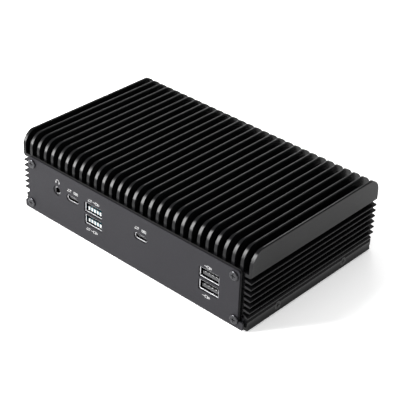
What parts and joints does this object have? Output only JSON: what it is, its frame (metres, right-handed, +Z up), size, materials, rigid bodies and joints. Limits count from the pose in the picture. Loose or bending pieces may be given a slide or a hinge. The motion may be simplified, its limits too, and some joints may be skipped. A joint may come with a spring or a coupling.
{
  "type": "fanless mini pc",
  "caption": "Low rectangular fanless computer case with a finned top, ribbed sides, a plain front panel with sockets, and its boards inside.",
  "frame": {"origin": "on the plane under the rubber feet, below the middle of the case", "axes": "+X to the right seen from the front, +Y from the front panel to the rear panel, +Z up; the front panel faces -Y"},
  "size_m": [0.1718, 0.1114, 0.049],
  "materials": {
    "anodised_black": "satin black anodised, extruded",
    "panel_black": "fine matte black powder coat",
    "spacer_black": "matte black sheet",
    "contact_tin": "bright tin plate",
    "screw_steel": "bright zinc plate",
    "screw_black": "black zinc plate",
    "screw_dull": "matte black, flush",
    "plated_steel": "nickel plate",
    "socket_steel": "nickel plate",
    "rubber": "matte",
    "board_green": "solder mask over glass fibre",
    "module_green": "solder mask over glass fibre",
    "substrate_green": "solder mask",
    "chip_black": "moulded epoxy",
    "pad_grey": "soft filled silicone",
    "ferrite_grey": "pressed ferrite",
    "can_aluminium": "drawn can",
    "copper": "milled copper",
    "brass": "turned brass",
    "contact_gold": "gold flash",
    "plastic_black": "moulded",
    "plastic_grey": "moulded",
    "plastic_teal": "moulded",
    "plastic_white": "moulded",
    "cable_grey": "PVC sleeve",
    "clear_plastic": "clear acrylic"
  },
  "bodies": {
    "case": {"audio_jack": "plastic_black", "audio_ring": "socket_steel", "battery_holder": "plastic_black", "board_cable": "cable_grey", "board_screws": "screw_steel", "board_standoffs": "brass", "bottom_cover": "panel_black", "bottom_cover_screws": "screw_dull", "button_housing": "plastic_black", "button_spring": "plated_steel", "cable_plugs": "plastic_white", "capacitors": "can_aluminium", "case_body": "anodised_black", "dc_jack": "plastic_black", "dc_jack_pin": "plated_steel", "front_panel": "panel_black", "front_panel_screws": "screw_black", "front_spacer": "spacer_black", "heat_block": "copper", "heat_block_screws": "screw_steel", "inductors": "ferrite_grey", "io_board": "board_green", "lan_contacts": "contact_gold", "lan_ports": "socket_steel", "logic_chips": "chip_black", "mainboard": "board_green", "memory_module": "module_green", "memory_socket": "plastic_black", "mounting_nuts": "plated_steel", "power_switch": "plastic_black", "processor_die": "chip_black", "processor_substrate": "substrate_green", "rear_panel": "panel_black", "rear_panel_screws": "screw_black", "rear_spacer": "spacer_black", "rtc_battery": "plated_steel", "rubber_feet": "rubber", "ssd_module": "module_green", "ssd_screw": "screw_steel", "ssd_socket": "plastic_black", "ssd_standoff": "brass", "status_light_pipe": "clear_plastic", "thermal_pad": "pad_grey", "usb2_contacts": "plated_steel", "usb2_tongues": "plastic_grey", "usb3_contacts": "contact_tin", "usb3_tongues": "plastic_teal", "usb_a_shells": "socket_steel", "usb_c_risers": "plastic_black", "usb_c_shells": "socket_steel", "usb_c_tongues": "plastic_black", "video_shells": "socket_steel", "video_tongues": "plastic_black"},
    "power_button": {"power_button": "plastic_black", "switch_plunger": "plastic_white"},
    "memory_latch_right": {"memory_latch_right": "plated_steel"},
    "memory_latch_left": {"memory_latch_left": "plated_steel"}
  },
  "joints": [
    {"name": "power_button_press", "type": "slide", "parent": "case", "child": "power_button", "axis": [0, -1, 0], "range_m": [0, 0.0008], "stiffness_N_per_m": 900, "deforming": ["button_spring"]},
    {"name": "memory_latch_right_open", "type": "slide", "parent": "case", "child": "memory_latch_right", "axis": [1, 0, 0], "range_m": [0, 0.001], "stiffness_N_per_m": 2000},
    {"name": "memory_latch_left_open", "type": "slide", "parent": "case", "child": "memory_latch_left", "axis": [-1, 0, 0], "range_m": [0, 0.001], "stiffness_N_per_m": 2000}
  ]
}
